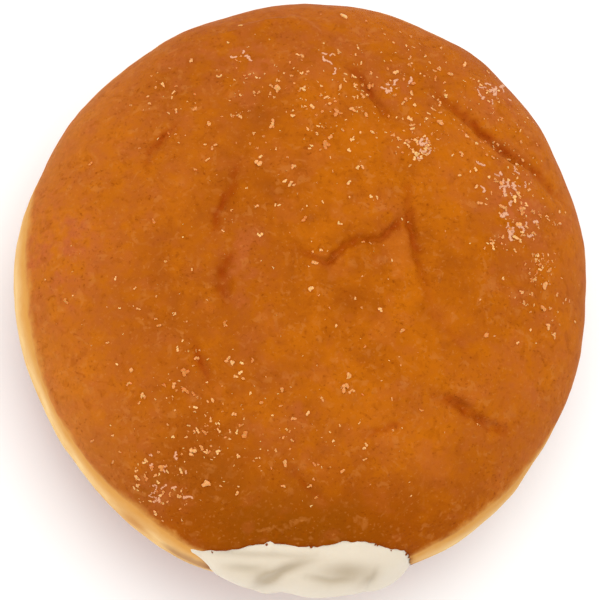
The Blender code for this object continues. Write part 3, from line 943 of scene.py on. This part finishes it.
def crumb_material(look):
    nodes = Nodes("torn_crumb")
    place = nodes.place()
    holes = nodes.dots(place, 1.1 * MM)
    mottle = nodes.grain(place, 2.0 * MM, 4.0, 0.6)
    base = nodes.mix(holes.between(0.1, 0.5), look.gold, look.crumb)
    base = nodes.scaled(base, 0.8 + 0.4 * mottle)
    return nodes.surface(base, 0.8, holes, 0.5 * MM, {"Specular IOR Level": 0.1})


def crust_crumb_material(look):
    nodes = Nodes("crust_crumb")
    fine = nodes.grain(nodes.place(), 0.5 * MM, 3.0, 0.6)
    base = nodes.mix(fine.between(0.3, 0.7), look.crack, look.brown)
    return nodes.surface(base, 0.7, fine, 0.05 * MM, {"Specular IOR Level": 0.1})


def cream_material(look):
    nodes = Nodes("whipped_cream")
    place = nodes.place()
    clouds = nodes.grain(place, 6 * MM, 3.0, 0.5)
    fine = nodes.grain(place, 0.8 * MM, 4.0, 0.6)
    base = nodes.mix(nodes.stored("fold"), look.light, look.shade)
    base = nodes.scaled(base, 0.94 + 0.08 * clouds + 0.04 * fine)
    roughness = look.roughness + 0.2 * (clouds - 0.5)
    constants = {
        "Subsurface Weight": look.softness,
        "Subsurface Radius": (1.2, 1.0, 0.8),
        "Subsurface Scale": 1.0 * MM,
        "Specular IOR Level": 0.35,
    }
    return nodes.surface(base, roughness, clouds + 0.3 * fine, 0.12 * MM, constants)


def sugar_material(look):
    nodes = Nodes("sugar")
    place = nodes.place()
    speckle = nodes.grain(place, 0.35 * MM)
    # Painted highlight: dry grains turn white towards their tops
    base = nodes.mix(nodes.stored("dryness_and_highlight"), look.honey, look.white)
    base = nodes.scaled(base, 0.85 + 0.3 * speckle)
    constants = {"Specular IOR Level": 0.35, "Subsurface Weight": 0.3, "Subsurface Scale": 0.3 * MM}
    return nodes.surface(base, 0.35, speckle, 0.04 * MM, constants)


def flake_material(look):
    nodes = Nodes("dried_syrup")
    place = nodes.place()
    fine = nodes.grain(place, 0.4 * MM, 3.0, 0.6)
    # Painted highlight: flakes turn paler towards their tops
    dry = nodes.stored("dryness_and_highlight") + 0.5 * (fine - 0.5)
    base = nodes.mix(dry.between(0.0, 0.75), look.honey, look.flake)
    return nodes.surface(base, 0.5, fine, 0.03 * MM, {"Specular IOR Level": 0.3})


# --- Pieces ---------------------------------------------------------------------------------------


def torn(points, normals):
    """The points moved unevenly along their normals, as torn dough leaves them."""
    ragged = np.zeros(len(points))
    for number, (apart, far) in enumerate(TORN):
        ragged += far * smooth_noise(points, apart, TORN_NOISE + number)
    return points + ragged[:, None] * normals


def make_pocket_cutter():
    """The mouth and the pocket behind it."""
    bm, directions = ball(CREAM_CUTS)
    points, normals = cream_surface(directions, CREAM_GAP)
    at, halves, back = POCKET_KEPT
    kept = back * MM * bump(points[:, 0] / MM, (points[:, 2] - EQUATOR) / MM, at, halves)
    points -= (kept * rise(-points[:, 1], *CREAM_SWELLS))[:, None] * normals
    return mesh_object(bm, "pocket_cutter", torn(points, normals))


def make_table_cutter():
    """What the foot is cut flat by."""
    bm = bmesh.new()
    bmesh.ops.create_cube(bm, size=1.0)
    width, thick = TABLE_CUTTER
    bmesh.ops.scale(bm, vec=(width, width, thick), verts=bm.verts)
    bmesh.ops.translate(bm, vec=(0, 0, -thick / 2), verts=bm.verts)
    return mesh_object(bm, "table_cutter")


def lip_corners(mesh):
    """The corners that both the crust and the pocket's wall have."""
    kinds = np.repeat(numbers_of(mesh.polygons, "material_index"), numbers_of(mesh.polygons, "loop_total"))
    used = numbers_of(mesh.loops, "vertex_index")
    return np.intersect1d(used[kinds == 0], used[kinds == 1])


def lip_shade(points, lip):
    """The lip's torn brown and painted shade of the gap under it: 1 on the lip, fading away from it, in
    broken stretches but for the mouth's lower left.
    """
    tree = KDTree(len(lip))
    for number, point in enumerate(points[lip]):
        tree.insert(point, number)
    tree.balance()
    shade = np.zeros(len(points))
    scar_and_shade = spots(points, SCAR_AND_SHADE) * (1 - rise(points[:, 2], EQUATOR, EQUATOR + BAND_TOP))
    for number in np.nonzero(points[:, 1] < CREAM_FRONT + LIP_REGION)[0]:
        _, _, distance = tree.find(points[number])
        shade[number] = math.exp(-((distance / LIP_DARK / (1 + scar_and_shade[number])) ** 2))
    mean, much, apart = LIP_BROKEN
    broken = np.clip(mean + much * smooth_noise(points, apart, LIP_NOISE), 0, 1)
    return shade * np.maximum(broken, np.clip(scar_and_shade, 0, 1))


def rim_paleness_and_sheen(points):
    """How much the top crust is paler next to the band, partly its own colour and partly painted sheen: most
    on the mouth's left, none over the mouth.
    """
    x, y = ((points[:, :2] - DOUGH_CENTRE) / DOUGH_RADIUS).T
    near = np.exp(-np.clip(np.abs(points[:, 2] - EQUATOR) - BAND_TOP, 0, None) / RIM_FADE)
    side = np.clip(RIM_PALE - RIM_LEFT * x, 0, 1) * (1 - RIM_BACK_LESS * rise(y, *RIM_BACK))
    return near * side * rise(y, *RIM_FRONT)


def sheen_ring(points):
    """Painted sheen all round the shoulder, but not over the mouth."""
    x, y = ((points[:, :2] - DOUGH_CENTRE) / DOUGH_RADIUS).T
    return SHEEN_RING * rise(np.hypot(x, y), *SHEEN_SHOULDER) * rise(y, *SHEEN_FRONT)


def on_band(points, places):
    """Soft spots that stay on the band and below it, 0 to 1."""
    height = (points[:, 2] - EQUATOR) / MM
    return np.clip(spots(points, places), 0, 1) * rise(height, *SPOT_FOOT) * (1 - rise(height, *SPOT_HEAD))


class DOUGHNUT_OT_crust(Operator):
    """Makes the fried crust with its band, its creases and the pocket for the cream"""

    bl_idname = "doughnut.crust"
    bl_label = "Crust"

    def execute(self, context):
        look = context.scene.doughnut_crust
        finishes = crust_material(look), crumb_material(look)
        bm, directions = ball(CRUST_CUTS, CRUST_STRETCH, CRUST_LIFT)
        points, normals = dough_surface(directions)
        points += crust_relief(points)[:, None] * normals
        crust = mesh_object(bm, "crust", points)
        pocket = make_pocket_cutter()
        for made in (crust, pocket):
            for finish in finishes:
                made.data.materials.append(finish)
        pocket.data.polygons.foreach_set("material_index", [1] * len(pocket.data.polygons))
        thin_out(crust, CRUST_TRIANGLES)
        thin_out(pocket, POCKET_TRIANGLES)
        cut_away(crust, make_table_cutter())
        cut_away(crust, pocket)
        corners = corners_of(crust.data)
        # Painted shade in the creases
        store(crust.data, "crease", crease_shade(corners))
        # Browning, and painted shade on the front above the mouth
        store(crust.data, "browning_and_shade", blotches(corners, STAINS_AND_SHADE))
        # Blooms, and painted sheen all round the shoulder
        store(crust.data, "bloom_and_sheen", blotches(corners, BLOOMS) + sheen_ring(corners))
        # Pale rim, partly painted sheen
        store(crust.data, "rim", rim_paleness_and_sheen(corners))
        store(crust.data, "scab", on_band(corners, SCABS))
        store(crust.data, "toast", on_band(corners, TOASTED))
        # The lip's torn brown and painted shade of the gap under it
        store(crust.data, "lip", lip_shade(corners, lip_corners(crust.data)))
        dress(crust, "fried_crust")
        crust.data.set_sharp_from_angle(angle=SHARP_EDGE)
        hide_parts("dough")
        return {"FINISHED"}


def cream_marks(points):
    """How far fine folds sink the cream's shoulder, and how far little peaks lift it over the lip."""
    upper = rise((points[:, 2] - EQUATOR) / MM, *CREAM_FOLDS_END) * rise(-points[:, 1], *CREAM_SHOULDER)
    sunk = sum(crease(points, *fold) for fold in CREAM_FINE_CREASES) * upper
    x, y = points[:, :2].T / MM
    lifted = sum(height * bump(x, y, (at, PEAK_Y), (wide, PEAK_LONG)) for at, wide, height in CREAM_PEAKS)
    return sunk, lifted * MM * (points[:, 2] > EQUATOR)


class DOUGHNUT_OT_cream(Operator):
    """Makes the cream that fills the pocket and bulges out of the mouth"""

    bl_idname = "doughnut.cream"
    bl_label = "Cream"

    def execute(self, context):
        look = context.scene.doughnut_cream
        bm, directions = ball(CREAM_CUTS)
        points, normals = cream_surface(directions, CREAM_PLUMP)
        sunk, lifted = cream_marks(points)
        deep = cream_relief(points)[1]
        points = points - sunk[:, None] * normals + lifted[:, None] * np.array([0, 0, 1])
        cream = mesh_object(bm, "cream_filling", points)
        store(cream.data, "fold", np.clip((deep + FOLD_FINE * sunk) / FOLD_DEEP, 0, 1))
        dress(cream, "cream", cream_material(look))
        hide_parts("cream")
        return {"FINISHED"}


def surface_of(name):
    """A piece's surface, for finding places on it."""
    return BVHTree.FromObject(bpy.data.objects[name], bpy.context.evaluated_depsgraph_get())


def seen_from_above(surface, x, y):
    """The surface's highest point over this place, and its normal there, or None and None."""
    point, normal, _, _ = surface.ray_cast(Vector((x, y, ABOVE_ALL)), DOWN)
    return point, normal


def drawn(draw, ranges):
    """A vector, with each part drawn from its range."""
    return Vector([draw.uniform(*span) for span in ranges])


def crystal(bm, middle, turn, radius, stretch, draw):
    """Adds a ball of twenty faces, pulled out of true, and gives back how high each corner is on it."""
    start = len(bm.verts)
    bmesh.ops.create_icosphere(bm, subdivisions=1, radius=1.0)
    bm.verts.ensure_lookup_table()
    heights = [(1 + corner.co.z) / 2 for corner in bm.verts[start:]]
    for corner in bm.verts[start:]:
        corner.co = middle + turn @ (corner.co * stretch * drawn(draw, CORNER_STRETCH)) * radius
    return heights


def scatter(surface, patches, count, radii, seed, apart):
    """Places for grains on the top crust: a point, its normal and a radius, most of them in the patches."""
    draw = random.Random(seed)
    shares = [patch[3] for patch in patches]
    places = []
    while len(places) < count:
        x, y, spread, _ = draw.choices(patches, shares)[0]
        x, y = draw.gauss(x, spread) * MM, draw.gauss(y, spread) * MM
        radius = draw.uniform(*radii)
        point, normal = seen_from_above(surface, x, y)
        if point is None or point.z < EQUATOR + SUGAR_LOWEST:
            continue
        if all((point - other).length > apart for other, _, _ in places):
            places.append((point, normal, radius))
    return places


def fine_patches():
    """The patches for fine grains, which are fewer where flakes lie."""
    for x, y, spread, grains in SUGAR_PATCHES:
        yield x, y, spread, grains * (FLAKED_SHARE if (x, y) in FLAKED else 1)
    yield from FINE_PATCHES


def any_turn(draw):
    """A rotation by any angle about any axis."""
    axis = Vector([draw.gauss(0, 1) for _ in range(3)])
    return Matrix.Rotation(draw.uniform(0, math.tau), 3, axis)


def laid_flat(normal, heading):
    """The rotation that lays a crystal on the crust, with its length this way."""
    return normal.to_track_quat("Z", "Y").to_matrix() @ Matrix.Rotation(heading, 3, "Z")


class DOUGHNUT_OT_sugar(Operator):
    """Scatters the sugar's coarse and fine grains over the crust"""

    bl_idname = "doughnut.sugar"
    bl_label = "Sugar grains"

    def execute(self, context):
        look = context.scene.doughnut_sugar
        surface = surface_of("crust")
        places = scatter(surface, SUGAR_PATCHES, COARSE_GRAINS, COARSE_RADIUS, SUGAR_SEED, COARSE_APART)
        radii = look.smallest, look.largest
        fine = scatter(surface, list(fine_patches()), look.fine_grains, radii, FINE_SEED, 0.0)
        places += [(point, normal, radius**2 / look.largest) for point, normal, radius in fine]
        draw = random.Random(CLUMP_SEED)
        bm = bmesh.new()
        dryness_and_highlight = []
        for point, normal, radius in places:
            dry = draw.random() ** GRAIN_DRYNESS
            middle = point
            for _ in range(draw.choice(CLUMP_CRYSTALS)):
                turn = laid_flat(normal, draw.uniform(0, math.tau))
                stretch = drawn(draw, GRAIN_STRETCH)
                heights = crystal(bm, middle + normal * radius * CLUMP_PROUD, turn, radius, stretch, draw)
                # Dryness, times the height on the crystal as painted highlight
                dryness_and_highlight += [dry * height for height in heights]
                middle = middle + turn @ Vector((radius, 0, 0)) * draw.uniform(*CLUMP_STEP)
        grains = mesh_object(bm, "sugar_grains")
        store(grains.data, "dryness_and_highlight", dryness_and_highlight)
        dress(grains, "fried_crust", sugar_material(look))
        grains.data.shade_flat()
        return {"FINISHED"}


def winding(surface, middle, spread, draw):
    """Points, normals and headings along a short winding route over the crust, from near this place."""
    x, y = (draw.gauss(at, spread) * MM for at in middle)
    heading = draw.uniform(0, math.tau)
    for _ in range(draw.randint(*FLAKE_LINKS)):
        point, normal = seen_from_above(surface, x, y)
        if point is None:
            return
        yield point, normal, heading
        heading += draw.gauss(0, FLAKE_TURN)
        x += FLAKE_STEP * math.cos(heading)
        y += FLAKE_STEP * math.sin(heading)


class DOUGHNUT_OT_flakes(Operator):
    """Lays thin winding flakes of dried syrup over the crust"""

    bl_idname = "doughnut.flakes"
    bl_label = "Flakes"

    def execute(self, context):
        look = context.scene.doughnut_sugar
        surface = surface_of("crust")
        draw = random.Random(FLAKE_SEED)
        bm = bmesh.new()
        dryness_and_highlight = []
        for x, y, spread, count, dry in FLAKES:
            for _ in range(count):
                radius = draw.uniform(*FLAKE_RADIUS)
                for point, normal, heading in winding(surface, (x, y), spread, draw):
                    stretch = drawn(draw, (FLAKE_LONG, FLAKE_WIDE)).to_3d()
                    stretch.z = look.flake_height / radius
                    heights = crystal(bm, point, laid_flat(normal, heading), radius, stretch, draw)
                    # Dryness, times the height on the crystal as painted highlight
                    dryness_and_highlight += [dry * height for height in heights]
        flakes = mesh_object(bm, "sugar_flakes")
        store(flakes.data, "dryness_and_highlight", dryness_and_highlight)
        dress(flakes, "fried_crust", flake_material(look))
        return {"FINISHED"}


class DOUGHNUT_OT_crumbs(Operator):
    """Drops small brown crumbs on the cream along the torn lip"""

    bl_idname = "doughnut.crumbs"
    bl_label = "Crumbs"

    def execute(self, context):
        look = context.scene.doughnut_crust
        crust = bpy.data.objects["crust"].data
        surface = surface_of("cream_filling")
        points = corners_of(crust)[lip_corners(crust)]
        lip = points[points[:, 2] > EQUATOR + BAND_TOP]
        draw = random.Random(CRUMB_SEED)
        bm = bmesh.new()
        for _ in range(CRUMBS):
            x, y, _ = lip[draw.randrange(len(lip))]
            point, normal = seen_from_above(surface, x, y - abs(draw.gauss(0, CRUMB_SPREAD)))
            if point is None:
                continue
            radius = draw.uniform(*CRUMB_RADIUS)
            stretch = drawn(draw, CRUMB_STRETCH)
            crystal(bm, point + normal * CRUMB_PROUD * radius, any_turn(draw), radius, stretch, draw)
        crumbs = mesh_object(bm, "lip_crumbs")
        dress(crumbs, "fried_crust", crust_crumb_material(look))
        return {"FINISHED"}


def soft_light(name, watts, size, place):
    """A square lamp that faces the origin."""
    light = bpy.data.lights.new(name, "AREA")
    light.energy = watts
    light.size = size
    lamp = bpy.data.objects.new(name, light)
    lamp.location = place
    lamp.rotation_euler = (-lamp.location).to_track_quat("-Z", "Y").to_euler()
    bpy.context.scene.collection.objects.link(lamp)


class DOUGHNUT_OT_stage(Operator):
    """Sets a pale floor, soft lights and the camera"""

    bl_idname = "doughnut.stage"
    bl_label = "Stage"

    def execute(self, context):
        look = context.scene.doughnut_stage
        bm = bmesh.new()
        bmesh.ops.create_grid(bm, x_segments=1, y_segments=1, size=FLOOR_REACH)
        floor = mesh_object(bm, "floor")
        nodes = Nodes("pale_floor")
        nodes.add_output(nodes.add("BsdfDiffuse", None, {"Color": look.floor}))
        floor.data.materials.append(nodes.material)

        world = bpy.data.worlds.new("soft_room")
        world.use_nodes = True
        sky = world.node_tree.nodes["Background"].inputs
        sky["Color"].default_value = (1, 1, 1, 1)
        sky["Strength"].default_value = look.fill
        context.scene.world = world
        soft_light("key", look.key, *KEY_LAMP)
        soft_light("side", look.side, *SIDE_LAMP)

        across = math.sin(look.tilt)
        back = Vector((across * math.cos(look.turn), across * math.sin(look.turn), math.cos(look.tilt)))
        right = Vector((0, 1, 0)).cross(back).normalized()
        turned = Matrix((right, back.cross(right), back)).transposed().to_4x4()
        data = bpy.data.cameras.new("camera")
        data.sensor_width = SENSOR
        data.lens = SENSOR * look.distance / look.span
        data.clip_start = NEAREST_SEEN
        camera = bpy.data.objects.new("camera", data)
        camera.matrix_world = Matrix.Translation(Vector(AIM) + back * look.distance) @ turned
        context.scene.collection.objects.link(camera)
        context.scene.camera = camera
        context.scene.view_settings.view_transform = "Standard"
        return {"FINISHED"}


class DOUGHNUT_PT_panel(Panel):
    """The doughnut's pieces and settings"""

    bl_idname = "DOUGHNUT_PT_panel"
    bl_label = "Doughnut"
    bl_space_type = "VIEW_3D"
    bl_region_type = "UI"
    bl_category = "Doughnut"

    def draw(self, context):
        for operator in OPERATORS:
            self.layout.operator(operator.bl_idname)
        for group in SETTINGS:
            box = self.layout.box()
            for name in SETTINGS[group].__annotations__:
                box.prop(getattr(context.scene, group), name)


OPERATORS = (
    DOUGHNUT_OT_crust,
    DOUGHNUT_OT_cream,
    DOUGHNUT_OT_sugar,
    DOUGHNUT_OT_flakes,
    DOUGHNUT_OT_crumbs,
    DOUGHNUT_OT_stage,
)
SETTINGS = {
    "doughnut_crust": CrustSettings,
    "doughnut_cream": CreamSettings,
    "doughnut_sugar": SugarSettings,
    "doughnut_stage": StageSettings,
}


def register():
    for group, settings in SETTINGS.items():
        bpy.utils.register_class(settings)
        setattr(bpy.types.Scene, group, PointerProperty(type=settings))
    for operator in OPERATORS:
        bpy.utils.register_class(operator)
    bpy.utils.register_class(DOUGHNUT_PT_panel)


def unregister():
    bpy.utils.unregister_class(DOUGHNUT_PT_panel)
    for operator in reversed(OPERATORS):
        bpy.utils.unregister_class(operator)
    for group, settings in SETTINGS.items():
        delattr(bpy.types.Scene, group)
        bpy.utils.unregister_class(settings)


def main():
    register()
    bpy.ops.doughnut.crust()
    bpy.ops.doughnut.cream()
    bpy.ops.doughnut.sugar()
    bpy.ops.doughnut.flakes()
    bpy.ops.doughnut.crumbs()
    bpy.ops.doughnut.stage()


if __name__ == "__main__":
    main()
